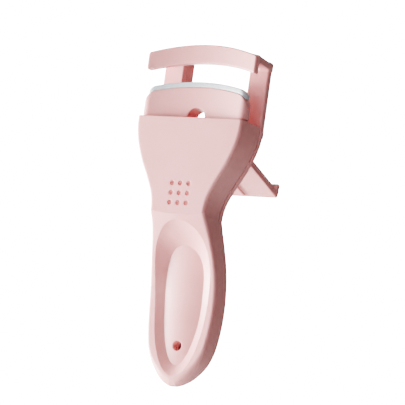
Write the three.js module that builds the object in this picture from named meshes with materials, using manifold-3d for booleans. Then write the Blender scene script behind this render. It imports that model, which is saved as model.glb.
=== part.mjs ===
// Flat eyelash curler: a moulded handle with a wide head, a sliding lower jaw with a soft pad,
// a fixed curved bar above it, and a press lever behind the head that lifts the jaw.
// Millimetres. +Z runs up the long axis, +X is to the right of the flat front face and -Y points
// out of that face. While the parts are built, depth 0 is the flat front face and depth grows
// rearwards; the whole group is then moved so that its origin is at the middle of the overall
// box, level with the handle's lower tip.
import * as THREE from 'three';
import { mergeVertices } from 'three/addons/utils/BufferGeometryUtils.js';
import Module from 'manifold-3d';

const wasm = await Module();
wasm.setup();

// ---------------------------------------------------------------- driving dimensions
const clearance = 0.3; // between pieces that touch

// Body outline: half-width at each height, from the handle's tip to the top of the head
const outline = [
  [0, 1.2], [0.4, 2.3], [1, 3.5], [1.8, 4.6], [2.8, 5.6], [3.8, 6.3], [5.5, 7.4], [8, 8.7],
  [12.5, 10.0], [20, 11.05], [29, 11.4], [37.5, 11.05], [44.5, 10.2], [49, 9.6], [53.2, 9.45],
  [57, 10.2], [62, 12.4], [67, 14.95], [72.5, 17.05], [77, 18], [81, 18.2],
];
const headTop = 81;
const crease = 51; // the flat face ends here and the handle sweeps back
const sweepEnd = 18; // below this height the handle runs straight down
const handleFrontDepth = 10.8;
const handleBackDepth = 18.7;
const tipTaper = { height: 8, depth: 3.2 }; // the back comes forward towards the tip
const waistBackDepth = 12.5;
const headBackDepth = 14.6;
const headBackStart = 76; // above this height the back of the head is parallel to its front
const platePlay = 2.6; // the shell's rim ends this far in front of the back of the head
const plateThickness = 2.1;
const frontWall = 1.3;
const sideWall = 1.6;
const thinSideWall = 0.65; // beside the sliding jaw

// Thumb scoop and its crowned insert, both egg shaped
const scoop = { centre: 26.3, half: 23.2, width: 9.2, lean: 0.2, power: [3, 3] };
const scoopFloor = { depth: 1.35, extra: 1.2, from: 28, to: 42 }; // deeper towards the waist
const insert = { centre: 24.65, half: 18.15, width: 6.4, lean: 0.15, power: [2.3, 4], crown: 0.7 };
const insertBack = 3.4; // depth of the insert's back behind the handle's front
const floorBack = 4.7; // depth of the shell's floor behind the insert
const strapHole = { z: 12.2, r: 1.45 };

// Dimples in the flat face
const dimple = { r: 0.75, depth: 0.5, pitchX: 2.85, pitchZ: 3, z: 57.5 };

// Jaws: bar, pad and sliding jaw follow one plan arc and one front arc
const planRadius = 62;
const biteRadius = 56;
const bar = { half: 18.9, front: 5.1, thickness: 2.7, bottom: 98.8, top: 104.7, topRadius: 50 };
const pad = { half: 17.1, top: 92.8, height: 1.7 };
const jaw = { half: 17.3, front: 3.7, thickness: 4.2, bottom: 76.5, endRadius: 2.2,
  cornerTop: 3.5, cornerBottom: 4.5 };
const jawShoulder = { half: 18, bottom: 81.3 }; // wider part, above the shell
const jawTravel = 5.9;
const sightHole = { z: 81.5, r: 3, bossR: 4.6, back: 9.8 };

// Posts of the frame
const post = { inner: 11.6, outer: 18.2, front: 12.3, bottom: 79.9, top: 101.2 };
const armHeight = 2.3;
const ear = { thickness: 1.6, back: 18.9, top: 101.2, r: 2.1 };

// Press lever and its crank
const pivot = { y: 16.9, z: 73.5 };
const leverDrop = THREE.MathUtils.degToRad(18); // below the horizontal, at rest
const leverSwing = THREE.MathUtils.degToRad(55);
const lever = { length: 25.4, thickness: 2.2, half: 11.2, barrelR: 1.9, lipHeight: 2, lipThickness: 1.5 };
const crankRadius = jawTravel / (2 * Math.sin(leverSwing / 2));
const crankArm = { inner: 4, outer: 6.6, r: 1.8 };
const pinR = { lever: 1, drive: 0.9, play: 0.06 };
const slotPlay = 0.14;

// Sliding jaw's stem, its lug with the slot, and the return springs
const stem = { half: 7.9, front: 4.9, back: 7.3, bottom: 54.6, top: 80 };
const lug = { half: 3.5, back: 13.2, halfHeight: 2 };
const notch = { half: 7.2, bottom: 68.2 };
const seat = {
  inner: 3.7, outer: 7.4, front: 7.5, back: 10.4, foot: 56.1, ledgeBottom: 66.7, ledgeTop: 67.9,
};
const spring = { x: 5.45, y: 9.1, r: 1.35, wire: 0.24, turns: 5.5 };

// Fasteners
const screw = { headR: 1.8, headHeight: 1.1, shankR: 0.95, sink: 0.3, bossR: 2.1 };
const frameScrews = { x: 10.3, z: 66, length: 6 };
const coverScrews = [{ z: 46, length: 5 }, { z: 22, length: 2.2 }];
const coverThickness = 1.7;

// ---------------------------------------------------------------- curves of the body
// Smooth curve through the outline's points: half-width at a height
function halfWidth(z) {
  let i = 0;
  while (i < outline.length - 2 && z > outline[i + 1][0]) i += 1;
  const slope = (k) => {
    const a = outline[Math.max(0, k - 1)];
    const b = outline[Math.min(outline.length - 1, k + 1)];
    return (b[1] - a[1]) / (b[0] - a[0]);
  };
  const [z0, w0] = outline[i];
  const [z1, w1] = outline[i + 1];
  const span = z1 - z0;
  const t = THREE.MathUtils.clamp((z - z0) / span, 0, 1);
  const rise = t * t * (3 - 2 * t);
  return w0 + (w1 - w0) * rise + span * t * (1 - t) * (slope(i) * (1 - t) - slope(i + 1) * t);
}

// 1 at the crease, 0 where the handle has reached its full sweep
function sweep(z) {
  return THREE.MathUtils.clamp((z - sweepEnd) / (crease - sweepEnd), 0, 1);
}

function frontDepth(z) {
  return handleFrontDepth * (1 - sweep(z) ** 2.35);
}

function backDepth(z) {
  const rise = THREE.MathUtils.clamp((z - crease) / (headBackStart - crease), 0, 1);
  if (z >= crease) return THREE.MathUtils.lerp(waistBackDepth, headBackDepth, rise);
  const taper = tipTaper.depth * THREE.MathUtils.clamp(1 - z / tipTaper.height, 0, 1) ** 2;
  return waistBackDepth + (handleBackDepth - waistBackDepth) * (1 - sweep(z) ** 2) - taper;
}

// Drop of a rounded edge of radius r at distance |x| from the middle of a width 2 * half
function edgeDrop(x, half, r) {
  const over = Math.abs(x) - (half - r);
  return over <= 0 ? 0 : r - Math.sqrt(Math.max(0, r * r - over * over));
}

function edgeRadius(z) {
  const handle = Math.min(1.6, 0.9 * halfWidth(z));
  return THREE.MathUtils.lerp(handle, 1, THREE.MathUtils.smoothstep(z, 44, crease));
}

// Room left at height z by an egg's rounded ends, from 1 at its middle to 0
function eggRoom(egg, t) {
  return 1 - Math.abs(t) ** egg.power[t < 0 ? 0 : 1];
}

function eggHalf(egg, z) {
  const t = (z - egg.centre) / egg.half;
  return egg.width * (1 + egg.lean * t) * Math.sqrt(Math.max(0.003, eggRoom(egg, t)));
}

function floorDepth(z) {
  return scoopFloor.depth
    + scoopFloor.extra * THREE.MathUtils.smoothstep(z, scoopFloor.from, scoopFloor.to);
}

// Depth of the thumb scoop: an even slope from its outer edge to the foot of the insert
function scoopDepth(x, z) {
  const t = (z - scoop.centre) / scoop.half;
  if (Math.abs(t) >= 1) return 0;
  const reach = eggRoom(scoop, t) - (x / (scoop.width * (1 + scoop.lean * t))) ** 2;
  return floorDepth(z) * THREE.MathUtils.clamp(reach / 0.5, 0, 1);
}

function wallAt(z) {
  return THREE.MathUtils.lerp(sideWall, thinSideWall, THREE.MathUtils.smoothstep(z, 70, 76));
}

// Front of the hollow inside the shell
function hollowDepth(z) {
  const floor = THREE.MathUtils.lerp(floorBack, frontWall, THREE.MathUtils.smoothstep(z, 45, 52));
  return frontDepth(z) + floor;
}

const planSet = (x) => -(x * x) / (2 * planRadius);
const biteSet = (x) => -(x * x) / (2 * biteRadius);

// ---------------------------------------------------------------- geometry helpers
// Closed skin over a row of rings with the same number of points, with a fan at each end
function loft(rings) {
  const count = rings[0].length;
  const points = rings.flat();
  const index = [];
  for (let row = 0; row + 1 < rings.length; row += 1) {
    for (let i = 0; i < count; i += 1) {
      const a = row * count + i;
      const b = row * count + ((i + 1) % count);
      index.push(a, b, b + count, a, b + count, a + count);
    }
  }
  for (const row of [0, rings.length - 1]) {
    const middle = rings[row].reduce((sum, p) => sum.add(p), new THREE.Vector3()).divideScalar(count);
    points.push(middle);
    for (let i = 0; i < count; i += 1) {
      const a = row * count + i;
      const b = row * count + ((i + 1) % count);
      index.push(points.length - 1, ...(row === 0 ? [b, a] : [a, b]));
    }
  }
  const geometry = new THREE.BufferGeometry().setFromPoints(points);
  geometry.setIndex(index);
  return geometry;
}

// Solid between a front and a back surface, with a half-width at each height
function slab({ heights, half, front, back, columns }) {
  return loft(heights.map((z) => {
    const w = half(z);
    const xs = Array.from({ length: columns + 1 }, (_, i) => w * Math.sin((i / columns - 0.5) * Math.PI));
    const near = xs.map((x) => new THREE.Vector3(x, front(x, z, w), z));
    const far = xs.map((x) => new THREE.Vector3(x, back(x, z, w), z)).reverse();
    return [...near, ...far];
  }));
}

// Curved strip along X: at each x a rectangle from (front, bottom) to (back, top)
function strip({ half, columns, front, back, bottom, top }) {
  const rings = [];
  for (let i = 0; i <= columns; i += 1) {
    const x = half * Math.sin((i / columns - 0.5) * Math.PI);
    const [y0, y1, z0, z1] = [front(x), back(x), bottom(x), top(x)];
    rings.push([[y0, z0], [y1, z0], [y1, z1], [y0, z1]].map(([y, z]) => new THREE.Vector3(x, y, z)));
  }
  return loft(rings);
}

function block(x0, x1, y0, y1, z0, z1) {
  const geometry = new THREE.BoxGeometry(x1 - x0, y1 - y0, z1 - z0);
  return geometry.translate((x0 + x1) / 2, (y0 + y1) / 2, (z0 + z1) / 2);
}

function rodX(y, z, r, x0, x1, sides = 20) {
  const geometry = new THREE.CylinderGeometry(r, r, x1 - x0, sides).rotateZ(Math.PI / 2);
  return geometry.translate((x0 + x1) / 2, y, z);
}

function rodY(x, z, r, y0, y1, sides = 20) {
  return new THREE.CylinderGeometry(r, r, y1 - y0, sides).translate(x, (y0 + y1) / 2, z);
}

function solid(geometry) {
  let plain = geometry.clone();
  plain.deleteAttribute('normal');
  plain.deleteAttribute('uv');
  plain = mergeVertices(plain, 1e-5);
  const vertProperties = new Float32Array(plain.attributes.position.array);
  const triVerts = new Uint32Array(plain.index.array);
  return new wasm.Manifold(new wasm.Mesh({ numProp: 3, vertProperties, triVerts }));
}

const join = (geometries) => geometries.map(solid).reduce((sum, piece) => sum.add(piece));

function toGeometry(manifold) {
  const { vertProperties, triVerts } = manifold.getMesh();
  const geometry = new THREE.BufferGeometry();
  geometry.setAttribute('position', new THREE.BufferAttribute(new Float32Array(vertProperties), 3));
  geometry.setIndex(new THREE.BufferAttribute(new Uint32Array(triVerts), 1));
  geometry.computeVertexNormals();
  return geometry;
}

const bothSides = (make) => [make(-1), make(1)];

// A block given for the right side, on the side with the given sign
function sideBlock(side, x0, x1, y0, y1, z0, z1) {
  return side > 0 ? block(x0, x1, y0, y1, z0, z1) : block(-x1, -x0, y0, y1, z0, z1);
}

function heights(from, to, steps) {
  return Array.from({ length: steps + 1 }, (_, i) => from + ((to - from) * i) / steps);
}

// ---------------------------------------------------------------- materials
const pinkPlastic = new THREE.MeshStandardMaterial({ color: 0xf2c4c0, roughness: 0.42, metalness: 0 });
const softPad = new THREE.MeshStandardMaterial({ color: 0xdfe3ea, roughness: 0.35, metalness: 0 });
const steel = new THREE.MeshStandardMaterial({ color: 0xb9bcc0, roughness: 0.3, metalness: 1 });

// ---------------------------------------------------------------- front shell
function frontShell() {
  const step = 0.1; // height of the shoulder on which the frame's plate stands
  const outer = slab({
    heights: [
      0, 0.4, 1, 1.8, 2.8, 3.8, 5.5, 6.6, 8, 10.2, 12.5, 16, 20, 24.5, 29, 33, 37, 40, 42.5, 44.5, 46.5, 48,
      49.4, 50.4, crease - step, crease, 53.2, 55, 57, 59.5, 62, 64.5, 67, 70, 72.5, 75, 78, headTop,
    ],
    half: halfWidth,
    front: (x, z, w) => frontDepth(z) + Math.max(edgeDrop(x, w, edgeRadius(z)), scoopDepth(x, z)),
    back: (x, z, w) => (z >= crease ? backDepth(z) - platePlay
      : backDepth(z) - edgeDrop(x, w, edgeRadius(z))),
    columns: 16,
  });
  const hollow = slab({
    heights: [3.4, 6, 12, 20, 30, 38, 44, 46, 48, 50, 52, 57, 62, 67, 70, 72, 74, 76, 79, headTop + 1],
    half: (z) => halfWidth(z) - wallAt(z),
    front: (x, z) => hollowDepth(z),
    back: () => handleBackDepth + 5,
    columns: 4,
  });
  const pocket = slab({
    heights: heights(insert.centre - insert.half - clearance, insert.centre + insert.half + clearance, 16),
    half: (z) => eggHalf(insert, z) + clearance,
    front: (x, z) => frontDepth(z) - 4,
    back: (x, z) => frontDepth(z) + insertBack + clearance,
    columns: 8,
  });
  const bossStart = frontWall - 0.5;
  const bossEnd = backDepth(frameScrews.z - 3) - platePlay - 0.1;
  const frameBosses = bothSides((side) => rodY(
    side * frameScrews.x, frameScrews.z, screw.bossR, bossStart, bossEnd));
  const coverBosses = coverScrews.map(({ z }) => rodY(
    0, z, screw.bossR, hollowDepth(z) - 0.6, backDepth(z + 2) - coverThickness - clearance));
  const guides = bothSides((side) => sideBlock(
    side, 5.4, 6.6, frontWall - 0.5, stem.front - clearance, 56, 74));
  const pilot = screw.shankR + 0.06;
  const holes = [
    ...bothSides((side) => rodY(side * frameScrews.x, frameScrews.z, pilot, 4.5, 14)),
    ...coverScrews.map(({ z, length }) => rodY(
      0, z, pilot, backDepth(z) - screw.sink - screw.headHeight - length - clearance, 20)),
    rodY(0, strapHole.z, strapHole.r, 5, 25),
  ];
  const dimples = [-1, 0, 1].flatMap((row) => [-1, 0, 1].map((column) => rodY(
    column * dimple.pitchX, dimple.z + row * dimple.pitchZ, dimple.r, -1, dimple.depth, 10)));
  return toGeometry(solid(outer).subtract(solid(hollow))
    .add(join([...frameBosses, ...coverBosses, ...guides]))
    .subtract(solid(pocket)).subtract(join(holes)).subtract(join(dimples)));
}

function thumbInsert() {
  const plug = slab({
    heights: heights(insert.centre - insert.half, insert.centre + insert.half, 16),
    half: (z) => eggHalf(insert, z),
    front: (x, z, w) => {
      const t = (z - insert.centre) / insert.half;
      const crown = insert.crown * (1 - (x / w) ** 2) * Math.max(0, 1 - t * t);
      return frontDepth(z) + floorDepth(z) - crown;
    },
    back: (x, z) => frontDepth(z) + insertBack,
    columns: 8,
  });
  return toGeometry(solid(plug).subtract(solid(rodY(0, strapHole.z, strapHole.r, 5, 25))));
}

function backCover() {
  const cover = slab({
    heights: [3.8, 5, 6.5, 9, 12, 16, 20, 25, 30, 35, 40, 44, 47, 49, crease - clearance],
    half: (z) => halfWidth(z) - sideWall - clearance,
    front: (x, z) => backDepth(z) - coverThickness,
    back: (x, z) => backDepth(z),
    columns: 6,
  });
  const cuts = coverScrews.flatMap(({ z }) => screwSeat(0, z, 20));
  return toGeometry(solid(cover).subtract(join([...cuts, rodY(0, strapHole.z, strapHole.r, 5, 25)])));
}

// Clearance hole and sunk seat of a screw whose head faces the rear
function screwSeat(x, z, outside) {
  const under = backDepth(z) - screw.sink - screw.headHeight;
  return [
    rodY(x, z, screw.shankR + 0.2, under - 6, outside),
    rodY(x, z, screw.headR + clearance, under - 0.1, outside),
  ];
}

// ---------------------------------------------------------------- jaw frame
function jawFrame() {
  const plate = slab({
    heights: [
      crease + clearance, 54, 57, 59.5, 62, 64.5, 67, 70, 72.5, headBackStart, 78, post.bottom + 0.1,
    ],
    half: (z) => Math.min(halfWidth(z), post.outer),
    front: (x, z) => backDepth(z) - plateThickness,
    back: (x, z, w) => backDepth(z) - edgeDrop(x, w, 0.6),
    columns: 10,
  });
  const endDrop = (x) => edgeDrop(x, bar.half, 1.2);
  const upperBar = strip({
    half: bar.half,
    columns: 24,
    front: (x) => bar.front + planSet(x) + edgeDrop(x, bar.half, 0.8),
    back: (x) => bar.front + planSet(x) + bar.thickness,
    bottom: (x) => bar.bottom + biteSet(x) + endDrop(x),
    top: (x) => bar.top - (x * x) / (2 * bar.topRadius) - endDrop(x),
  });
  const barBack = bar.front + planSet(bar.half) + bar.thickness - 0.5;
  const arms = bothSides((side) => {
    const section = (y, outer, top) => [[outer - 3.3, -armHeight], [outer, -armHeight], [outer, 0],
      [outer - 3.3, 0]].map(([x, z]) => new THREE.Vector3(side * x, y, top + z));
    const rings = [
      section(barBack, bar.half - 0.3, post.top + 0.6), section(headBackDepth, post.outer, post.top),
    ];
    return loft(side > 0 ? rings.reverse() : rings);
  });
  const posts = bothSides((side) => sideBlock(
    side, post.inner, post.outer, post.front, headBackDepth, post.bottom, post.top));
  const ears = bothSides((side) => sideBlock(
    side, post.inner, post.inner + ear.thickness, headBackDepth - 1, ear.back, pivot.z, ear.top));
  const earEnds = bothSides((side) => {
    const ends = [side * post.inner, side * (post.inner + ear.thickness)].sort((a, b) => a - b);
    return rodX(pivot.y, pivot.z, ear.r, ...ends);
  });
  const earRoots = bothSides((side) => sideBlock(side, post.inner, post.inner + ear.thickness,
    headBackDepth - 1.4, pivot.y, pivot.z - ear.r, pivot.z));
  const ledges = bothSides((side) => sideBlock(
    side, seat.inner, seat.outer, seat.front, backDepth(seat.ledgeBottom) - 0.5,
    seat.ledgeBottom, seat.ledgeTop));
  const cuts = [
    block(-notch.half, notch.half, 5, 20, notch.bottom, post.bottom + 1),
    rodX(pivot.y, pivot.z, pinR.lever + pinR.play, -20, 20),
    ...screwSeat(frameScrews.x, frameScrews.z, 20),
    ...screwSeat(-frameScrews.x, frameScrews.z, 20),
  ];
  return toGeometry(join([plate, upperBar, ...arms, ...posts, ...ears, ...earEnds, ...earRoots, ...ledges])
    .subtract(join(cuts)));
}

// ---------------------------------------------------------------- sliding jaw
const crankRest = leverSwing / 2; // below the horizontal, at rest
const drivePin = {
  y: pivot.y - crankRadius * Math.cos(crankRest),
  z: pivot.z - crankRadius * Math.sin(crankRest),
};
const pinSetback = crankRadius * (1 - Math.cos(crankRest)); // how far the pin moves in the slot

function lowerJaw() {
  const top = (x) => pad.top - pad.height - clearance + biteSet(x)
    - edgeDrop(x, jawShoulder.half, jaw.cornerTop);
  const head = (half, bottom) => strip({
    half,
    columns: 26,
    front: (x) => jaw.front + planSet(x) + edgeDrop(x, half, jaw.endRadius),
    back: (x) => jaw.front + planSet(x) + jaw.thickness - edgeDrop(x, half, jaw.thickness - jaw.endRadius),
    bottom,
    top,
  });
  const lugBack = block(-lug.half, lug.half, stem.back - 0.5, lug.back,
    drivePin.z - lug.halfHeight, drivePin.z + lug.halfHeight);
  const feet = bothSides((side) => sideBlock(
    side, seat.inner, seat.outer, stem.back - 0.5, seat.back, stem.bottom, seat.foot));
  const slotR = pinR.drive + slotPlay;
  const slot = [
    rodX(drivePin.y, drivePin.z, slotR, -5, 5),
    rodX(drivePin.y - pinSetback, drivePin.z, slotR, -5, 5),
    block(-5, 5, drivePin.y - pinSetback, drivePin.y, drivePin.z - slotR * 0.99, drivePin.z + slotR * 0.99),
  ];
  return toGeometry(join([
    head(jaw.half, (x) => jaw.bottom + edgeDrop(x, jaw.half, jaw.cornerBottom)),
    head(jawShoulder.half, () => jawShoulder.bottom),
    block(-stem.half, stem.half, stem.front, stem.back, stem.bottom, stem.top),
    rodY(0, sightHole.z, sightHole.bossR, jaw.front + 1, sightHole.back, 28),
    lugBack,
    ...feet,
  ]).subtract(join([rodY(0, sightHole.z, sightHole.r, 0, 15, 28), ...slot])));
}

function siliconePad() {
  const drop = (x) => biteSet(x) - edgeDrop(x, jawShoulder.half, jaw.cornerTop);
  return strip({
    half: pad.half,
    columns: 20,
    front: (x) => jaw.front + 0.1 + planSet(x) + edgeDrop(x, pad.half, 2.1),
    back: (x) => jaw.front - 0.1 + planSet(x) + jaw.thickness - edgeDrop(x, pad.half, 1.8),
    bottom: (x) => pad.top - pad.height + drop(x),
    top: (x) => pad.top + drop(x),
  });
}

// ---------------------------------------------------------------- press lever
// Built with its plate level and rearwards from the pivot at the origin, then turned and placed
function pressLever() {
  const { length, thickness, half, barrelR, lipHeight, lipThickness } = lever;
  const plate = [
    rodX(0, 0, barrelR, -half, half),
    block(-half, half, 0, length, -thickness / 2, thickness / 2),
    block(-half, half, length - lipThickness, length, thickness / 2 - 0.2, thickness / 2 + lipHeight),
  ].map((geometry) => geometry.rotateX(-leverDrop));
  const arms = bothSides((side) => {
    const beam = sideBlock(side, crankArm.inner, crankArm.outer, -crankRadius, 0,
      -crankArm.r * 0.9, crankArm.r * 0.9);
    const ends = [side * crankArm.inner, side * crankArm.outer].sort((a, b) => a - b);
    const nose = rodX(-crankRadius, 0, crankArm.r, ...ends);
    return [beam, nose].map((geometry) => geometry.rotateX(crankRest));
  }).flat();
  const body = join([...plate, ...arms].map((geometry) => geometry.translate(0, pivot.y, pivot.z)));
  return toGeometry(body
    .subtract(solid(rodX(pivot.y, pivot.z, pinR.lever + pinR.play, -20, 20)))
    .subtract(solid(rodX(drivePin.y, drivePin.z, pinR.drive + pinR.play, -20, 20))));
}

// ---------------------------------------------------------------- springs and screws
class Helix extends THREE.Curve {
  constructor(x, y, z0, z1) {
    super();
    Object.assign(this, { x, y, z0, z1 });
  }

  getPoint(t, target = new THREE.Vector3()) {
    const angle = t * spring.turns * 2 * Math.PI;
    return target.set(
      this.x + spring.r * Math.cos(angle),
      this.y + spring.r * Math.sin(angle),
      this.z0 + t * (this.z1 - this.z0),
    );
  }
}

function returnSpring(side) {
  const wireSection = new THREE.Shape();
  for (let i = 0; i < 6; i += 1) {
    const angle = (i * Math.PI) / 3;
    const [x, y] = [spring.wire * Math.cos(angle), spring.wire * Math.sin(angle)];
    if (i === 0) wireSection.moveTo(x, y);
    else wireSection.lineTo(x, y);
  }
  const lift = spring.wire + clearance / 2;
  return new THREE.ExtrudeGeometry(wireSection, {
    steps: Math.round(spring.turns * 12),
    extrudePath: new Helix(side * spring.x, spring.y, seat.foot + lift, seat.ledgeBottom - lift),
  });
}

// Screw with its head at the rear
function caseScrew(x, z, length) {
  const headBack = backDepth(z) - screw.sink;
  const under = headBack - screw.headHeight;
  const recess = rodY(x, z, 0.8, headBack - 0.5, headBack + 1, 6);
  return toGeometry(join([
    rodY(x, z, screw.headR, under, headBack, 18),
    rodY(x, z, screw.shankR, under - length, under + 0.1),
  ]).subtract(solid(recess)));
}

// ---------------------------------------------------------------- assembly
const curler = new THREE.Group();
const leverBack = pivot.y + lever.length * Math.cos(leverDrop)
  + (lever.thickness / 2 + lever.lipHeight) * Math.sin(leverDrop);
curler.position.y = -leverBack / 2;

function add(name, geometry, material) {
  const mesh = new THREE.Mesh(geometry, material);
  mesh.name = name;
  curler.add(mesh);
}

add('front_shell', frontShell(), pinkPlastic);
add('thumb_insert', thumbInsert(), pinkPlastic);
add('back_cover', backCover(), pinkPlastic);
add('jaw_frame', jawFrame(), pinkPlastic);
add('lower_jaw', lowerJaw(), pinkPlastic);
add('silicone_pad', siliconePad(), softPad);
add('press_lever', pressLever(), pinkPlastic);
const leverPinHalf = post.inner + ear.thickness - 0.1;
add('lever_pin', rodX(pivot.y, pivot.z, pinR.lever, -leverPinHalf, leverPinHalf), steel);
const drivePinHalf = crankArm.outer - 0.1;
add('drive_pin', rodX(drivePin.y, drivePin.z, pinR.drive, -drivePinHalf, drivePinHalf), steel);
add('return_spring_left', returnSpring(-1), steel);
add('return_spring_right', returnSpring(1), steel);
const screws = [
  [-frameScrews.x, frameScrews.z, frameScrews.length],
  [frameScrews.x, frameScrews.z, frameScrews.length],
  ...coverScrews.map(({ z, length }) => [0, z, length]),
];
screws.forEach((place, i) => add(`case_screw_${i + 1}`, caseScrew(...place), steel));

export default curler;
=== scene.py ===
import bpy
import bmesh
import numpy as np
from mathutils import Matrix, Vector


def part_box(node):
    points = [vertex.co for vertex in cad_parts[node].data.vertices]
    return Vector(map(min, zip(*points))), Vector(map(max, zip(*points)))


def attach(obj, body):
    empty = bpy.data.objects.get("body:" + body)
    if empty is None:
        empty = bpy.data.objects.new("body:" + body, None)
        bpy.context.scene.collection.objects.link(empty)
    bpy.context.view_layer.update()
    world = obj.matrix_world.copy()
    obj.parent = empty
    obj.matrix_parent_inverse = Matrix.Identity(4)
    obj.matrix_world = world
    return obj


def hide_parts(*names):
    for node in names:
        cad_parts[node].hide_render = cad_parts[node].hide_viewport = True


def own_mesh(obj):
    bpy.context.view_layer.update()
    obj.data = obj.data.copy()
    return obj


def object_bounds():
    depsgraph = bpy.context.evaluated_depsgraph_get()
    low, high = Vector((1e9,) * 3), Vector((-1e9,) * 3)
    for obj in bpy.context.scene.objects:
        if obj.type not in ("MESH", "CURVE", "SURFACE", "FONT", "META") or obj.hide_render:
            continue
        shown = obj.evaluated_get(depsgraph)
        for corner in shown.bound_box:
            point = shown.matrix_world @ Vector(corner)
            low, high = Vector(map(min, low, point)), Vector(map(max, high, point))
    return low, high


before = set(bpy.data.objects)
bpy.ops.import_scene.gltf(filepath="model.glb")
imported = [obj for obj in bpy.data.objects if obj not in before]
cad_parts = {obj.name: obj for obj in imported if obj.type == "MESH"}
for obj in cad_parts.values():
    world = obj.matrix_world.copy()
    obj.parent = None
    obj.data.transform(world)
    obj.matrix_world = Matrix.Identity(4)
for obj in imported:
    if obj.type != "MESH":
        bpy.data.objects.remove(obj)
cad_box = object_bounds()

MM = 0.001
FACE_Y = float(cad_box[0][1]) / MM  # row Y of depth 0


# ---------------------------------------------------------------- distance fields
def join(a, b, r=0.0):
    """Union with a fillet of about radius r."""
    if np.isscalar(r) and r <= 0:
        return np.minimum(a, b)
    k = 1.2 * r
    h = np.maximum(k - np.abs(a - b), 0) / k
    return np.minimum(a, b) - h * h * k / 4


def meet(a, b, r=0.0):
    """Intersection whose edge is rounded to about radius r."""
    return -join(-a, -b, r)


def cut(a, b, r=0.0):
    """a without b, the new edge rounded to about radius r."""
    return meet(a, -b, r)


def ramp(v, low, high):
    t = np.clip((v - low) / (high - low), 0, 1)
    return t * t * (3 - 2 * t)


def mix(a, b, t):
    return a + (b - a) * t


def box(x, y, z, low, high, r):
    """Box between two corners, with rounded edges."""
    centre = [(a + b) / 2 for a, b in zip(low, high)]
    half = [(b - a) / 2 - r for a, b in zip(low, high)]
    q = [np.abs(v - c) - h for v, c, h in zip((x, y, z), centre, half)]
    outside = np.sqrt(sum(np.maximum(v, 0) ** 2 for v in q))
    return outside + np.minimum(np.maximum(q[0], np.maximum(q[1], q[2])), 0) - r


def disc(u, v, cu, cv, r):
    return np.sqrt((u - cu) ** 2 + (v - cv) ** 2) - r


def rod(u, v, w, cu, cv, r, low, high, edge=0.2):
    """Round rod along w from low to high."""
    ends = np.maximum(low - w, w - high)
    return meet(disc(u, v, cu, cv, r), ends, edge)


class Plan:
    """Exact distance to a closed outline in the XZ plane, kept in a fine table."""

    STEP = 0.2

    def __init__(self, points, margin=6.0):
        p = np.array(points, float)
        q = np.roll(p, -1, axis=0)
        self.low = p.min(0) - margin
        size = ((p.max(0) + margin - self.low) / self.STEP).astype(int) + 2
        gx, gz = np.meshgrid(*(np.arange(n) * self.STEP + a for n, a in zip(size, self.low)), indexing="ij")
        best = np.full(gx.shape, 1e9)
        inside = np.zeros(gx.shape, bool)
        for (ax, az), (bx, bz) in zip(p, q):
            ex, ez = bx - ax, bz - az
            length = max(ex * ex + ez * ez, 1e-12)
            t = np.clip(((gx - ax) * ex + (gz - az) * ez) / length, 0, 1)
            best = np.minimum(best, (gx - ax - t * ex) ** 2 + (gz - az - t * ez) ** 2)
            if ez != 0:
                crosses = ((az > gz) != (bz > gz)) & (gx < ex * (gz - az) / ez + ax)
                inside ^= crosses
        self.table = np.where(inside, -1, 1) * np.sqrt(best)

    def __call__(self, x, z):
        u = np.clip((x - self.low[0]) / self.STEP, 0, self.table.shape[0] - 1.001)
        v = np.clip((z - self.low[1]) / self.STEP, 0, self.table.shape[1] - 1.001)
        i, j = u.astype(int), v.astype(int)
        s, t = u - i, v - j
        d = self.table
        near = d[i, j] * (1 - s) + d[i + 1, j] * s
        far = d[i, j + 1] * (1 - s) + d[i + 1, j + 1] * s
        return near * (1 - t) + far * t


# ---------------------------------------------------------------- skinning
def surface_net(field, low, high, step):
    """Quads round the zero level of a field, on a grid."""
    axes = [np.arange(a - 1.5 * step, b + 1.6 * step, step) for a, b in zip(low, high)]
    shape = [len(a) for a in axes]
    values = np.empty(shape, np.float32)
    for k in range(0, shape[2], 24):
        grid = np.meshgrid(axes[0], axes[1], axes[2][k:k + 24], indexing="ij")
        values[:, :, k:k + 24] = field(*grid)
    inside = values < 0
    cells = [n - 1 for n in shape]
    total = np.zeros(cells + [3], np.float32)
    count = np.zeros(cells, np.float32)
    for axis in range(3):
        others = [a for a in range(3) if a != axis]
        for da in (0, 1):
            for db in (0, 1):
                offset = [0, 0, 0]
                offset[others[0]], offset[others[1]] = da, db
                lo = tuple(slice(o, o + n) for o, n in zip(offset, cells))
                offset[axis] = 1
                hi = tuple(slice(o, o + n) for o, n in zip(offset, cells))
                crossed = inside[lo] != inside[hi]
                a, b = values[lo][crossed], values[hi][crossed]
                point = np.zeros((len(a), 3), np.float32)
                point[:, axis] = a / (a - b)
                point[:, others[0]] = da
                point[:, others[1]] = db
                total[crossed] += point
                count[crossed] += 1
    active = count > 0
    number = np.full(cells, -1, np.int64)
    number[active] = np.arange(active.sum())
    where = np.argwhere(active)
    verts = (total[active] / count[active][:, None] + where) * step
    verts = verts + np.array([a[0] for a in axes])
    quads = []
    for axis in range(3):
        u, v = (axis + 1) % 3, (axis + 2) % 3
        lo = [slice(1, -1)] * 3
        lo[axis] = slice(0, -1)
        hi = list(lo)
        hi[axis] = slice(1, None)
        a, b = inside[tuple(lo)], inside[tuple(hi)]
        first = np.argwhere(a != b)
        flip = b[a != b]
        first[:, u] += 1
        first[:, v] += 1
        corners = []
        for du, dv in ((-1, -1), (0, -1), (0, 0), (-1, 0)):
            c = first.copy()
            c[:, u] += du
            c[:, v] += dv
            corners.append(number[c[:, 0], c[:, 1], c[:, 2]])
        quad = np.stack(corners, 1)
        quad[flip] = quad[flip][:, ::-1]
        quads.append(quad)
    return verts, np.concatenate(quads)


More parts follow.
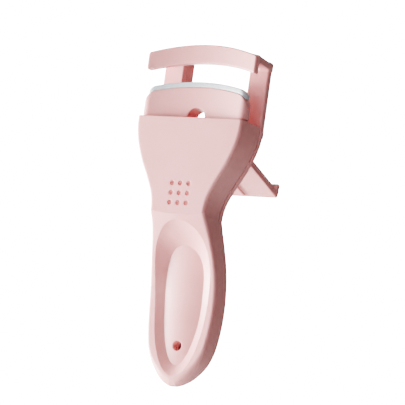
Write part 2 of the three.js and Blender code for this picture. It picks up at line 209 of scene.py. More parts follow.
def gradient(field, p, eps):
    """Field value and slope at each point."""
    x, y, z = p.T
    value = field(x, y, z)
    slope = np.stack([
        field(x + eps, y, z) - field(x - eps, y, z),
        field(x, y + eps, z) - field(x, y - eps, z),
        field(x, y, z + eps) - field(x, y, z - eps),
    ], 1) / (2 * eps)
    return value, slope


def settle(field, verts, quads, step):
    """Evens out the net, then puts its points on the surface."""
    rounds = 3
    ends = np.concatenate([quads[:, [0, 1]], quads[:, [1, 2]], quads[:, [2, 3]], quads[:, [3, 0]]])
    for turn in range(rounds):
        total = np.zeros_like(verts)
        count = np.zeros(len(verts))
        for a, b in ((0, 1), (1, 0)):
            for c in range(3):
                total[:, c] += np.bincount(ends[:, a], verts[ends[:, b], c], len(verts))
            count += np.bincount(ends[:, a], minlength=len(verts))
        if turn < rounds - 1:
            verts = mix(verts, total / count[:, None], 0.5)
        for _ in range(2):
            value, slope = gradient(field, verts, 0.02)
            size = np.maximum((slope ** 2).sum(1), 0.2)
            move = -(value / size)[:, None] * slope
            reach = np.linalg.norm(move, axis=1, keepdims=True)
            verts = verts + move * np.minimum(1, 0.6 * step / np.maximum(reach, 1e-9))
    return verts


def to_row(points):
    """Design millimetres to row-frame metres."""
    return (np.asarray(points, float) + [0, FACE_Y, 0]) * MM


def mesh_object(name, verts, faces, material):
    mesh = bpy.data.meshes.new(name)
    mesh.vertices.add(len(verts))
    mesh.vertices.foreach_set("co", np.ascontiguousarray(verts, np.float32).ravel())
    faces = np.ascontiguousarray(faces, np.int32)
    mesh.loops.add(faces.size)
    mesh.loops.foreach_set("vertex_index", faces.ravel())
    mesh.polygons.add(len(faces))
    mesh.polygons.foreach_set("loop_start", np.arange(len(faces), dtype=np.int32) * 4)
    mesh.update(calc_edges=True)
    mesh.validate()
    mesh.polygons.foreach_set("use_smooth", np.ones(len(mesh.polygons), bool))
    mesh.materials.append(material)
    obj = bpy.data.objects.new(name, mesh)
    bpy.context.scene.collection.objects.link(obj)
    return obj


def skin(name, field, low, high, step, material, keep):
    """Piece whose surface is the field's zero level, thinned to a share of its faces."""
    verts, quads = surface_net(field, low, high, step)
    verts = settle(field, verts, quads, step)
    obj = mesh_object(name, to_row(verts), quads, material)
    thin = obj.modifiers.new("thin", "DECIMATE")
    thin.ratio = keep
    bpy.context.view_layer.update()
    graph = bpy.context.evaluated_depsgraph_get()
    fewer = bpy.data.meshes.new_from_object(obj.evaluated_get(graph))
    obj.modifiers.clear()
    obj.data = fewer
    fewer.polygons.foreach_set("use_smooth", np.ones(len(fewer.polygons), bool))
    points = np.empty(len(fewer.vertices) * 3, np.float32)
    fewer.vertices.foreach_get("co", points)
    at = points.reshape(-1, 3) / MM - [0, FACE_Y, 0]
    slope = gradient(field, at, 0.05)[1]
    size = np.maximum(np.linalg.norm(slope, axis=1, keepdims=True), 1e-9)
    fewer.normals_split_custom_set_from_vertices((slope / size).tolist())
    return obj


def place(obj, body, slot, *nodes):
    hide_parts(*nodes)
    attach(obj, body)
    return obj


# ---------------------------------------------------------------- body curves
OUTLINE = [
    (0, 1.2), (0.4, 2.3), (1, 3.5), (1.8, 4.6), (2.8, 5.6), (3.8, 6.3), (5.5, 7.4), (8, 8.7),
    (12.5, 10.0), (20, 11.05), (29, 11.4), (37.5, 11.05), (44.5, 10.2), (49, 9.6), (53.2, 9.45),
    (57, 10.2), (62, 12.4), (67, 14.95), (72.5, 17.05), (77, 18), (81, 18.2),
]
HEAD_TOP = 81
CREASE = 51
SWEEP_END = 18
HANDLE_FRONT = 10.8
HANDLE_BACK = 18.7
WAIST_BACK = 12.5
HEAD_BACK = 14.6
HEAD_BACK_START = 76


def half_width_at(z):
    """Half-width of the body on the smooth curve through the outline's points."""
    at = np.array(OUTLINE, float)
    below = np.vstack([at[:1], at[:-1]])
    above = np.vstack([at[1:], at[-1:]])
    slopes = (above[:, 1] - below[:, 1]) / (above[:, 0] - below[:, 0])
    i = np.clip(np.searchsorted(at[:, 0], z, side="left") - 1, 0, len(at) - 2)
    span = at[i + 1, 0] - at[i, 0]
    t = np.clip((z - at[i, 0]) / span, 0, 1)
    rise = t * t * (3 - 2 * t)
    bow = span * t * (1 - t) * (slopes[i] * (1 - t) - slopes[i + 1] * t)
    return at[i, 1] + (at[i + 1, 1] - at[i, 1]) * rise + bow


WIDTH_Z = np.linspace(0, HEAD_TOP, 811)
WIDTH_X = half_width_at(WIDTH_Z)
edge_z = np.concatenate([np.linspace(0, 1.3, 8), np.linspace(1.6, HEAD_TOP, 200)])
edge_x = np.interp(edge_z, WIDTH_Z, WIDTH_X)
right_side = list(zip(edge_x, edge_z)) + [(18.3, 95.0)]
body_plan = Plan(right_side + [(-x, z) for x, z in reversed(right_side)])


def sweep(z):
    return np.clip((z - SWEEP_END) / (CREASE - SWEEP_END), 0, 1)


def front_depth(z):
    return HANDLE_FRONT * (1 - sweep(z) ** 2.35)


def back_depth(z):
    rise = np.clip((z - CREASE) / (HEAD_BACK_START - CREASE), 0, 1)
    head = mix(WAIST_BACK, HEAD_BACK, rise)
    taper = 2.8 * np.clip(1 - z / 8, 0, 1) ** 2
    handle = WAIST_BACK + (HANDLE_BACK - WAIST_BACK) * (1 - sweep(z) ** 2) - taper
    return np.where(z >= CREASE, head, handle)


def steepness(depth, z):
    slope = (depth(z + 0.1) - depth(z - 0.1)) / 0.2
    return np.sqrt(1 + slope * slope)


def plan_set(x):
    """Depth of the bar and the jaw at x against their middle: the ends come forward."""
    return -x * x / 124


def bite_set(x):
    """Height of the biting edge at x against its middle: the ends are lower."""
    return -x * x / 112


# ---------------------------------------------------------------- thumb scoop
SCOOP = {"centre": 26.3, "half": 23.2, "width": 9.2, "lean": 0.2, "power": (3, 3)}
INSERT = {"centre": 24.65, "half": 18.15, "width": 6.4, "lean": 0.15, "power": (2.3, 4)}
CROWN = 1.05
INSERT_BACK = 3.4
STRAP_Z = 12.5
STRAP_R = 1.45
PITCH_X, PITCH_Z = 2.85, 3  # spacing of the dimples
DIMPLES_Z = 57.5
DIMPLE_R = 0.72
FRAME_SCREW_X, FRAME_SCREW_Z = 10.3, 66
COVER_SCREW_HIGH, COVER_SCREW_LOW = 46, 22
BOSS_R = 2.1
PILOT_R = 1.0


def egg_plan(centre, half, width, lean, power):
    t = np.cos(np.linspace(0, np.pi, 120))
    shape = np.where(t < 0, *power)
    w = width * (1 + lean * t) * np.sqrt(np.maximum(0, 1 - np.abs(t) ** shape))
    right = list(zip(w, centre + half * t))
    return Plan(right + [(-a, b) for a, b in reversed(right[1:-1])], margin=3)


scoop_plan = egg_plan(**SCOOP)
insert_plan = egg_plan(**INSERT)


def floor_depth(z):
    """Depth of the scoop's floor under the face."""
    return 1.35 + 1.2 * ramp(z, 28, 42)


def scoop_depth(x, z):
    """Depth of the thumb scoop: an even slope from its rim down to the crown's outline."""
    to_rim = -scoop_plan(x, z)
    to_crown = insert_plan(x, z)
    share = to_rim / np.maximum(to_rim + np.maximum(to_crown, 0), 0.01)
    slope = floor_depth(z) * np.clip(share, 0, 1)
    under = 0.6 * np.clip(-to_crown, 0, 1)
    return np.where(to_rim > 0, slope + under, 0)


# ---------------------------------------------------------------- materials
def nodes_of(name):
    material = bpy.data.materials.new(name)
    material.use_nodes = True
    tree = material.node_tree
    shader = tree.nodes["Principled BSDF"]
    return material, tree, shader


def noise(tree, coords, scale, detail, roughness):
    node = tree.nodes.new("ShaderNodeTexNoise")
    node.inputs["Scale"].default_value = scale
    node.inputs["Detail"].default_value = detail
    node.inputs["Roughness"].default_value = roughness
    tree.links.new(coords.outputs["Object"], node.inputs["Vector"])
    return node


def span(tree, source, low, high, out_low, out_high):
    node = tree.nodes.new("ShaderNodeMapRange")
    for socket, value in (("From Min", low), ("From Max", high), ("To Min", out_low), ("To Max", out_high)):
        node.inputs[socket].default_value = value
    tree.links.new(source, node.inputs["Value"])
    return node.outputs["Result"]


def color_ramp(tree, source, stops):
    node = tree.nodes.new("ShaderNodeValToRGB")
    while len(node.color_ramp.elements) < len(stops):
        node.color_ramp.elements.new(0.5)
    for element, (at, color) in zip(node.color_ramp.elements, stops):
        element.position = at
        element.color = (*color, 1)
    tree.links.new(source, node.inputs["Fac"])
    return node.outputs["Color"]


def bump(tree, source, strength, distance, under=None):
    node = tree.nodes.new("ShaderNodeBump")
    node.inputs["Strength"].default_value = strength
    node.inputs["Distance"].default_value = distance
    tree.links.new(source, node.inputs["Height"])
    if under is not None:
        tree.links.new(under, node.inputs["Normal"])
    return node.outputs["Normal"]


def pink_plastic():
    material, tree, shader = nodes_of("pink_plastic")
    coords = tree.nodes.new("ShaderNodeTexCoord")
    cloud = noise(tree, coords, 60, 3, 0.55)
    grain = noise(tree, coords, 5200, 2, 0.6)
    orange = noise(tree, coords, 900, 2, 0.5)
    color = color_ramp(tree, cloud.outputs["Fac"], [
        (0.3, (0.83, 0.367, 0.357)),
        (0.5, (0.85, 0.388, 0.379)),
        (0.7, (0.865, 0.405, 0.397)),
    ])
    tree.links.new(color, shader.inputs["Base Color"])
    tree.links.new(span(tree, orange.outputs["Fac"], 0.3, 0.7, 0.36, 0.46), shader.inputs["Roughness"])
    waviness = bump(tree, orange.outputs["Fac"], 0.10, 0.0001)
    tree.links.new(bump(tree, grain.outputs["Fac"], 0.12, 0.00003, waviness), shader.inputs["Normal"])
    shader.inputs["Subsurface Weight"].default_value = 0.1
    shader.inputs["Subsurface Radius"].default_value = (1.0, 0.45, 0.38)
    shader.inputs["Subsurface Scale"].default_value = 0.0012
    shader.inputs["IOR"].default_value = 1.49
    return material


def clear_silicone():
    material, tree, shader = nodes_of("clear_silicone")
    coords = tree.nodes.new("ShaderNodeTexCoord")
    cloud = noise(tree, coords, 260, 3, 0.6)
    grain = noise(tree, coords, 3400, 2, 0.6)
    color = color_ramp(tree, cloud.outputs["Fac"], [
        (0.3, (0.59, 0.63, 0.66)),
        (0.7, (0.66, 0.70, 0.72)),
    ])
    tree.links.new(color, shader.inputs["Base Color"])
    tree.links.new(span(tree, cloud.outputs["Fac"], 0.3, 0.7, 0.3, 0.42), shader.inputs["Roughness"])
    tree.links.new(bump(tree, grain.outputs["Fac"], 0.1, 0.00003), shader.inputs["Normal"])
    shader.inputs["Subsurface Weight"].default_value = 0.5
    shader.inputs["Subsurface Radius"].default_value = (0.7, 0.85, 1.0)
    shader.inputs["Subsurface Scale"].default_value = 0.0015
    shader.inputs["IOR"].default_value = 1.41
    return material


def bright_steel():
    material, tree, shader = nodes_of("steel")
    coords = tree.nodes.new("ShaderNodeTexCoord")
    stretch = tree.nodes.new("ShaderNodeMapping")
    stretch.inputs["Scale"].default_value = (0.15, 1, 1)
    tree.links.new(coords.outputs["Object"], stretch.inputs["Vector"])
    drawn = tree.nodes.new("ShaderNodeTexNoise")
    drawn.inputs["Scale"].default_value = 9000
    tree.links.new(stretch.outputs["Vector"], drawn.inputs["Vector"])
    cloud = noise(tree, coords, 700, 3, 0.6)
    color = color_ramp(tree, cloud.outputs["Fac"], [
        (0.3, (0.50, 0.50, 0.51)),
        (0.7, (0.60, 0.60, 0.60)),
    ])
    tree.links.new(color, shader.inputs["Base Color"])
    tree.links.new(span(tree, drawn.outputs["Fac"], 0.3, 0.7, 0.22, 0.36), shader.inputs["Roughness"])
    tree.links.new(bump(tree, drawn.outputs["Fac"], 0.15, 0.00002), shader.inputs["Normal"])
    shader.inputs["Metallic"].default_value = 1.0
    return material


PINK = pink_plastic()
SILICONE = clear_silicone()
STEEL = bright_steel()


# ---------------------------------------------------------------- front shell
def sagging(x, z):
    """Height with the crease's sag taken out: the crease is lowest in the middle."""
    return z - 0.8 * np.minimum(1.3, (x / 9.5) ** 2) * ramp(z, 38, 50) * (1 - ramp(z, 53, 60))


def shell_field(x, y, z):
    level = sagging(x, z)
    side = body_plan(x, z)
    dip = scoop_depth(x, z)
    steep = steepness(front_depth, level)
    face = (front_depth(level) + dip - y) / steep
    radius = mix(mix(2.8, 0.7, ramp(z, 0, 13)), 0.8, ramp(z, 42, 50))
    front = meet(side, face, radius)
    back = y - back_depth(z)
    rear_edge = mix(mix(3.2, 0.8, ramp(z, 1, 14)), 0.6, ramp(z, 40, 50))
    handle = meet(front, back / steepness(back_depth, z), rear_edge)
    handle = meet(handle, z - CREASE - 0.2, 0.1)
    head = meet(front, back + 2.6, 0.25)
    d = meet(join(handle, head, 0.1), z - HEAD_TOP, 0.35)
    wall = mix(1.6, 0.65, ramp(z, 70, 76))
    floor = mix(4.7, 1.3, ramp(z, 45, 52))
    hollow = meet(meet(side + wall, (front_depth(z) + floor - y) / steep, 0.5), 3.4 - z, 0.5)
    d = cut(d, hollow, 0.15)
    for side_x in (-FRAME_SCREW_X, FRAME_SCREW_X):
        end = back_depth(np.float64(FRAME_SCREW_Z - 3)) - 2.7
        d = join(d, rod(x, z, y, side_x, FRAME_SCREW_Z, BOSS_R, 0.9, end), 0.3)
        d = cut(d, rod(x, z, y, side_x, FRAME_SCREW_Z, PILOT_R, 4.5, 14))
    for boss_z, length in ((COVER_SCREW_HIGH, 5), (COVER_SCREW_LOW, 2.2)):
        top = float(back_depth(np.float64(boss_z + 2))) - 2.0
        start = float(front_depth(np.float64(boss_z)) + 3.9)
        d = join(d, rod(x, z, y, 0, boss_z, BOSS_R, start, top), 0.3)
        pilot = float(back_depth(np.float64(boss_z))) - 1.7 - length
        d = cut(d, rod(x, z, y, 0, boss_z, PILOT_R, pilot, 20))
    for low, high in ((-6.6, -5.4), (5.4, 6.6)):
        d = join(d, box(x, y, z, (low, 0.9, 56), (high, 4.6, 74), 0.2), 0.3)
    pocket = np.maximum(insert_plan(x, z) + 0.25, y - front_depth(z) - 3.7)
    d = np.maximum(d, -pocket)
    d = cut(d, disc(x, z, 0, STRAP_Z, STRAP_R), 0.15)
    row = np.clip(np.round((z - DIMPLES_Z) / PITCH_Z), -1, 1)
    column = np.clip(np.round(x / PITCH_X), -1, 1)
    across = disc(x, z, column * PITCH_X, DIMPLES_Z + row * PITCH_Z, DIMPLE_R)
    dimple = meet(across, y - 0.6, 0.2)
    return cut(d, dimple, 0.16)


def insert_field(x, y, z):
    side = insert_plan(x, z) - 0.12
    t = np.clip((z - INSERT["centre"]) / INSERT["half"], -1, 1)
    room = 1 - t * t
    w = INSERT["width"] * (1 + INSERT["lean"] * t)
    crown = CROWN * (room - x * x / (w * w))
    face = (front_depth(z) + floor_depth(z) - crown - y) / steepness(front_depth, z)
    d = np.maximum(side, face)
    d = meet(d, y - front_depth(z) - INSERT_BACK, 0.2)
    return cut(d, disc(x, z, 0, STRAP_Z, STRAP_R), 0.3)


place(skin("shell_moulding", shell_field, (-18.4, -0.1, -0.1), (18.4, 19, 81.1), 0.25, PINK, 0.4),
      "casing", "pink_plastic", "front_shell")
place(skin("thumb_rest", insert_field, (-7.4, 7, 6.2), (7.4, 14.8, 43.1), 0.2, PINK, 0.5),
      "casing", "pink_plastic", "thumb_insert")


# ---------------------------------------------------------------- back cover
def seat(x, y, z, cx, cz):
    """Counterbore and clearance hole of a screw driven from the rear."""
    under = float(back_depth(np.float64(cz))) - 1.4
    return join(disc(x, z, cx, cz, 1.15), meet(disc(x, z, cx, cz, 2.05), under - 0.1 - y, 0.05))


def cover_field(x, y, z):
    outside = (y - back_depth(z)) / steepness(back_depth, z)
    d = meet(body_plan(x, z) + 1.78, outside, 0.35)
    d = meet(d, -outside - 1.7, 0.2)
    d = meet(d, np.maximum(z - CREASE + 0.3, 3.7 - z), 0.3)
    d = cut(d, seat(x, y, z, 0, COVER_SCREW_HIGH), 0.2)
    d = cut(d, seat(x, y, z, 0, COVER_SCREW_LOW), 0.2)
    return cut(d, disc(x, z, 0, STRAP_Z, STRAP_R), 0.3)


place(skin("rear_cover", cover_field, (-9.9, 11, 2.8), (9.9, 18.9, 51), 0.25, PINK, 0.5),
      "casing", "pink_plastic", "back_cover")

# ---------------------------------------------------------------- jaw frame
PIVOT_Y = 16.9
PIVOT_Z = 73.5
POST_OUT = 18.2
EAR_IN, EAR_OUT = 11.6, 13.2
EAR_TOP = 101.2
PIVOT_BORE = 1.06


def frame_field(x, y, z):
    ax = np.abs(x)
    side = np.maximum(body_plan(x, z), ax - POST_OUT)
    back = y - back_depth(z)
    plate = meet(meet(side, back, 0.6), -back - 2.1, 0.3)
    plate = meet(plate, np.maximum(51.22 - z, z - 80), 0.1)
    beam = meet(np.maximum(5.1 + plan_set(x) - y, y - 7.8 - plan_set(x)) / 1.04,
                np.maximum(98.8 + bite_set(x) - z, z - 104.7 + x * x / 100) / 1.04, 0.45)
    beam = meet(beam, ax - 18.9, 0.6)
    run = np.clip((y - 5) / 9.6, 0, 1)
    arm_top = mix(101.8, EAR_TOP, run)
    arm_out = mix(18.6, POST_OUT, run)
    across = np.maximum(ax - arm_out, arm_out - 3.3 - ax)
    arm = meet(np.maximum(arm_top - 2.3 - z, z - arm_top), across, 0.4)
    arm = meet(arm, np.maximum(4.5 - y, y - HEAD_BACK), 0.4)
    post = box(ax, y, z, (EAR_IN, 12.3, 78), (POST_OUT, HEAD_BACK, EAR_TOP), 0.35)
    post = np.where(z < 82, np.maximum(post, body_plan(x, z)), post)
    ear = box(ax, y, z, (EAR_IN, 13.4, PIVOT_Z), (EAR_OUT, 18.9, EAR_TOP), 0.35)
    knuckle = rod(y, z, ax, PIVOT_Y, PIVOT_Z, 2.1, EAR_IN, EAR_OUT, 0.3)
    root = box(ax, y, z, (EAR_IN, 13.2, PIVOT_Z - 2.1), (EAR_OUT, PIVOT_Y, PIVOT_Z + 1), 0.3)
    d = join(beam, arm, 0.9)
    d = join(d, post, 0.7)
    d = join(d, plate, 0.4)
    d = join(d, join(join(ear, knuckle), root), 0.45)
    ledge = box(ax, y, z, (3.7, 7.5, 66.7), (7.4, 12.9, 67.9), 0.25)
    d = cut(d, box(x, y, z, (-7.2, 5, 68.2), (7.2, 25, 95), 0.8), 0.25)
    d = join(d, ledge, 0.3)
    d = cut(d, disc(y, z, PIVOT_Y, PIVOT_Z, PIVOT_BORE), 0.15)
    return cut(d, seat(ax, y, z, FRAME_SCREW_X, FRAME_SCREW_Z), 0.2)


place(skin("frame_moulding", frame_field, (-19, 2.1, 51.1), (19, 19.1, 104.8), 0.25, PINK, 0.55),
      "casing", "pink_plastic", "jaw_frame")

# ---------------------------------------------------------------- sliding jaw and pad
SWING = np.radians(55)
STROKE = 5.9
CRANK = STROKE / (2 * np.sin(SWING / 2))
DRIVE_Y = PIVOT_Y - CRANK * np.cos(SWING / 2)
DRIVE_Z = PIVOT_Z - CRANK * np.sin(SWING / 2)
SETBACK = CRANK * (1 - np.cos(SWING / 2))
JAW_HALF = 17.3  # inside the shell
SHOULDER_HALF = 18  # above the shell
PAD_SEAT = 91.0  # height of the jaw's top in the middle
WINDOW_Z = 81.5  # height of the round hole


def edge_drop(x, half, r):
    """Fall of a rounded corner of radius r at the end of a half-width."""
    over = np.clip(np.abs(x) - (half - r), 0, r)
    return r - np.sqrt(np.maximum(0, r * r - over * over))


def jaw_field(x, y, z):
    ax = np.abs(x)
    front, back = (3.7 + plan_set(x) - y) / 1.03, (y - 7.9 - plan_set(x)) / 1.03
    width = mix(JAW_HALF, SHOULDER_HALF, ramp(z, 81.1, 81.5))
    d = meet(meet(front, ax - width, 2.1), back, 1.2)
    low = 76.5 + edge_drop(x, JAW_HALF, 4.5)
    high = PAD_SEAT + bite_set(x) - edge_drop(x, SHOULDER_HALF, 3.5)
    d = meet(d, np.maximum(low - z, z - high), 0.3)
    stem = box(x, y, z, (-7.9, 4.9, 54.6), (7.9, 7.3, 80), 0.3)
    d = join(d, stem, 0.4)
    boss = rod(x, z, y, 0, WINDOW_Z, 4.6, 4.7, 9.8, 0.35)
    d = join(d, boss, 0.35)
    lug = box(x, y, z, (-3.5, 6.8, DRIVE_Z - 2), (3.5, 13.2, DRIVE_Z + 2), 0.35)
    d = join(d, lug, 0.4)
    foot = box(ax, y, z, (3.7, 6.8, 54.6), (7.4, 10.4, 56.1), 0.25)
    d = join(d, foot, 0.3)
    d = cut(d, disc(x, z, 0, WINDOW_Z, 3.0), 0.3)
    slot_y = np.clip(y, DRIVE_Y - SETBACK, DRIVE_Y)
    slot = np.sqrt((y - slot_y) ** 2 + (z - DRIVE_Z) ** 2) - 1.04
    return cut(d, slot, 0.12)


def pad_field(x, y, z):
    front, back = (3.8 + plan_set(x) - y) / 1.03, (y - 7.8 - plan_set(x)) / 1.03
    d = meet(meet(front, np.abs(x) - 17.1, 1.9), back, 1.2)
    drop = bite_set(x) - edge_drop(x, SHOULDER_HALF, 3.5)
    lift = 0.12 * np.clip(((y - 5.8 - plan_set(x)) / 1.9) ** 2, 0, 1)
    return meet(d, np.maximum(PAD_SEAT + 0.03 + drop - z, z - 92.8 - drop + lift), 0.4)


place(skin("slider_moulding", jaw_field, (-18.1, 1.1, 54.5), (18.1, 13.4, 91.2), 0.22, PINK, 0.5),
      "jaw", "pink_plastic", "lower_jaw")
lash_pad = place(skin("lash_pad", pad_field, (-17.2, 1.4, 86.5), (17.2, 8, 92.9), 0.15, SILICONE, 0.5),
                 "jaw", "clear_silicone", "silicone_pad")

# ---------------------------------------------------------------- press lever
DROP = np.radians(18)
LEVER_HALF = 11.2
LEVER_LENGTH = 25.4


def lever_field(x, y, z):
    ax = np.abs(x)
    dy, dz = y - PIVOT_Y, z - PIVOT_Z
    u = dy * np.cos(DROP) - dz * np.sin(DROP)
    v = dy * np.sin(DROP) + dz * np.cos(DROP)
    plate = box(x, u, v, (-LEVER_HALF, 0, -1.1), (LEVER_HALF, LEVER_LENGTH, 1.1), 0.3)
    lip = box(x, u, v, (-LEVER_HALF, 23.9, -1.0), (LEVER_HALF, LEVER_LENGTH, 3.1), 0.3)
    barrel = rod(u, v, x, 0, 0, 1.9, -LEVER_HALF, LEVER_HALF, 0.3)
    rib = box(x, u, v, (-0.6, 1, -1.7), (0.6, 24.1, -0.8), 0.3)
    d = join(plate, lip, 0.6)
    d = join(d, barrel, 0.8)
    d = join(d, rib, 0.4)
    half = SWING / 2
    s = dy * np.cos(half) + dz * np.sin(half)
    w = -dy * np.sin(half) + dz * np.cos(half)
    beam = box(ax, s, w, (4, -CRANK, -1.62), (6.6, 0, 1.62), 0.25)
    nose = rod(s, w, ax, -CRANK, 0, 1.8, 4, 6.6, 0.25)
    d = join(d, join(beam, nose), 0.5)
    d = cut(d, disc(y, z, PIVOT_Y, PIVOT_Z, PIVOT_BORE), 0.15)
    return cut(d, disc(y, z, DRIVE_Y, DRIVE_Z, 0.96), 0.15)


place(skin("press_plate", lever_field, (-11.3, 9.3, 64.4), (11.3, 42.3, 75.5), 0.22, PINK, 0.5),
      "lever", "pink_plastic", "press_lever")


# ---------------------------------------------------------------- pins, screws and springs
def pin_field(cy, cz, r, half):
    def field(x, y, z):
        ends = np.abs(x) - half
        d = meet(disc(y, z, cy, cz, r), ends, 0.12)
        return cut(d, meet(disc(y, z, cy, cz, 0.35), half - 0.15 - np.abs(x)), 0.05)
    return field


def skin_pin(name, node, body, cy, cz, r):
    half = float(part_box(node)[1][0]) / MM
    low, high = (-half - 0.1, cy - r, cz - r), (half + 0.1, cy + r, cz + r)
    obj = skin(name, pin_field(cy, cz, r, half), low, high, 0.14, STEEL, 0.4)
    place(obj, body, "steel", node)


skin_pin("hinge_pin", "lever_pin", "casing", PIVOT_Y, PIVOT_Z, 1.0)
skin_pin("crank_pin", "drive_pin", "lever", DRIVE_Y, DRIVE_Z, 0.9)


def screw_field(cx, cz, back, tip):
    """Tapping screw driven from the rear, with a cross recess."""
    under = back - 1.1

    def field(x, y, z):
        dome = back - 0.12 * ((x - cx) ** 2 + (z - cz) ** 2) / 3.24
        head = meet(disc(x, z, cx, cz, 1.8), np.maximum(under - y, y - dome), 0.25)
        angle = np.arctan2(z - cz, x - cx)
        thread = 0.09 * np.cos(2 * np.pi * (y - tip) / 0.55 - angle)
        taper = np.clip((y - tip) / 0.9, 0.35, 1)
        along = np.maximum(tip - y, y - under - 0.1)
        shank = meet(disc(x, z, cx, cz, (0.86 + thread) * taper), along, 0.05)
        depth = back - 0.55 - y
        arms = np.minimum(np.maximum(np.abs(x - cx) - 0.2, np.abs(z - cz) - 0.85),
                          np.maximum(np.abs(x - cx) - 0.85, np.abs(z - cz) - 0.2))
        return cut(join(head, shank, 0.1), meet(arms, depth, 0.05), 0.05)
    return field


for number in range(1, 5):
    node = f"case_screw_{number}"
    low, high = (np.array(corner) / MM - [0, FACE_Y, 0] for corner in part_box(node))
    cx, cz = (low[0] + high[0]) / 2, (low[2] + high[2]) / 2
    obj = skin(f"tapping_screw_{number}", screw_field(cx, cz, high[1], low[1]), low, high, 0.13, STEEL, 0.6)
    place(obj, "casing", "steel", node)

SPRING_R = 1.35
WIRE_R = 0.24
COILS = 7.5


def spring_mesh(name, cx, cy, bottom, top):
    """Compression spring with closed ends, wound upwards."""
    low, high = bottom + WIRE_R, top - WIRE_R
    turns = np.linspace(0, COILS, int(COILS * 28) + 1)
    closed = 2 * WIRE_R * 1.04
    inner = np.clip((turns - 1) / (COILS - 2), 0, 1)
    z = low + closed * np.minimum(turns, 1) + (high - low - 2 * closed) * inner
    z = z + closed * np.maximum(turns - (COILS - 1), 0)
    angle = turns * 2 * np.pi
    centre = np.stack([cx + SPRING_R * np.cos(angle), cy + SPRING_R * np.sin(angle), z], 1)
    along = np.gradient(centre, axis=0)
    along /= np.linalg.norm(along, axis=1, keepdims=True)
    out = np.stack([np.cos(angle), np.sin(angle), np.zeros_like(angle)], 1)
    up = np.cross(out, along)
    up /= np.linalg.norm(up, axis=1, keepdims=True)
    round_angle = np.linspace(0, 2 * np.pi, 12, endpoint=False)
    ring = out[:, None] * np.cos(round_angle)[None, :, None]
    ring = ring + up[:, None] * np.sin(round_angle)[None, :, None]
    verts = (centre[:, None] + WIRE_R * ring).reshape(-1, 3)
    rows, around = len(turns), len(round_angle)
    i, j = np.meshgrid(np.arange(rows - 1), np.arange(around), indexing="ij")
    k = (j + 1) % around
    quads = np.stack([i * around + j, i * around + k, (i + 1) * around + k, (i + 1) * around + j], -1)
    obj = mesh_object(name, to_row(verts), quads.reshape(-1, 4), STEEL)
    shape = bmesh.new()
    shape.from_mesh(obj.data)
    bmesh.ops.holes_fill(shape, edges=[e for e in shape.edges if e.is_boundary], sides=0)
    bmesh.ops.recalc_face_normals(shape, faces=shape.faces)
    shape.to_mesh(obj.data)
    shape.free()
    return obj


for end in ("left", "right"):
    node = f"return_spring_{end}"
    low, high = (np.array(corner) / MM - [0, FACE_Y, 0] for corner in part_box(node))
    cx, cy = (low[0] + high[0]) / 2, (low[1] + high[1]) / 2
    coil = place(spring_mesh(f"coil_{end}", cx, cy, low[2], high[2]), "casing", "steel", node)
    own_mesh(coil)

# ---------------------------------------------------------------- camera
# Image axes in the row frame, and the point that the middle of the picture shows
RIGHT = Vector((0.8683, 0.4766, 0.1366)).normalized()
UP = Vector((-0.0486, -0.1976, 0.9790))
BACK = RIGHT.cross(UP).normalized()
UP = BACK.cross(RIGHT).normalized()
AIM = Vector((2.84, 10 + FACE_Y, 56.6)) * MM
DISTANCE = 1.3
PX_PER_M = 3290
PICTURE = 405
SENSOR = 36

camera_data = bpy.data.cameras.new("camera")
camera = bpy.data.objects.new("camera", camera_data)
bpy.context.scene.collection.objects.link(camera)
camera_data.sensor_width = SENSOR
camera_data.lens = SENSOR * PX_PER_M * DISTANCE / PICTURE
camera_data.clip_end = 20
camera.matrix_world = Matrix.Translation(AIM + BACK * DISTANCE) @ Matrix((
    (RIGHT.x, UP.x, BACK.x, 0),
    (RIGHT.y, UP.y, BACK.y, 0),
    (RIGHT.z, UP.z, BACK.z, 0),
    (0, 0, 0, 1),
))
bpy.context.scene.camera = camera

# ---------------------------------------------------------------- floor and light
FLOOR_Z = -0.2
FLOOR_HALF = 0.75


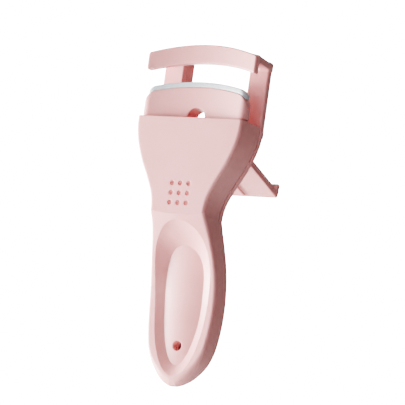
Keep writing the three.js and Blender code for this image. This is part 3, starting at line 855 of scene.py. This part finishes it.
def floor_material():
    material, tree, shader = nodes_of("pale_floor")
    coords = tree.nodes.new("ShaderNodeTexCoord")
    cloud = noise(tree, coords, 14, 4, 0.6)
    color = color_ramp(tree, cloud.outputs["Fac"], [
        (0.3, (0.80, 0.80, 0.80)),
        (0.7, (0.84, 0.84, 0.84)),
    ])
    tree.links.new(color, shader.inputs["Base Color"])
    shader.inputs["Roughness"].default_value = 0.75
    return material


corners = [(x * FLOOR_HALF, y * FLOOR_HALF, FLOOR_Z) for x, y in ((-1, -1), (1, -1), (1, 1), (-1, 1))]
floor = mesh_object("floor", np.array(corners), np.array([[0, 1, 2, 3]]), floor_material())


def area_light(name, heading, distance, width, energy):
    """Soft square light at an azimuth and elevation, turned to the object's middle."""
    data = bpy.data.lights.new(name, "AREA")
    data.shape = "SQUARE"
    data.size = width
    data.energy = energy
    light = bpy.data.objects.new(name, data)
    bpy.context.scene.collection.objects.link(light)
    around, above = np.radians(heading)
    way = Vector((np.sin(around) * np.cos(above), -np.cos(around) * np.cos(above), np.sin(above)))
    target = Vector((0, 0, 0.055))
    light.location = target + way * distance
    light.rotation_euler = way.to_track_quat("Z", "Y").to_euler()


area_light("key", (-65, -8), 0.8, 0.25, 16.0)
area_light("side", (-80, -8), 0.8, 0.25, 12.5)
area_light("high", (-50, 12), 0.8, 0.25, 1.8)
area_light("front", (8, -10), 0.8, 0.3, 1.7)
area_light("ceiling", (30, 80), 2.4, 3.0, 36.0)
area_light("rear", (-150, 0), 0.8, 0.4, 6.0)

world = bpy.data.worlds.new("studio")
bpy.context.scene.world = world
world.use_nodes = True
tree = world.node_tree
background = tree.nodes["Background"]
background.inputs["Color"].default_value = (1, 1, 1, 1)
path = tree.nodes.new("ShaderNodeLightPath")
FILL, BACKDROP = 0.02, 12.0
seen = span(tree, path.outputs["Is Camera Ray"], 0, 1, FILL, BACKDROP)
tree.links.new(seen, background.inputs["Strength"])
bpy.context.scene.view_settings.view_transform = "AgX"
bpy.context.scene.view_settings.look = "AgX - Medium High Contrast"
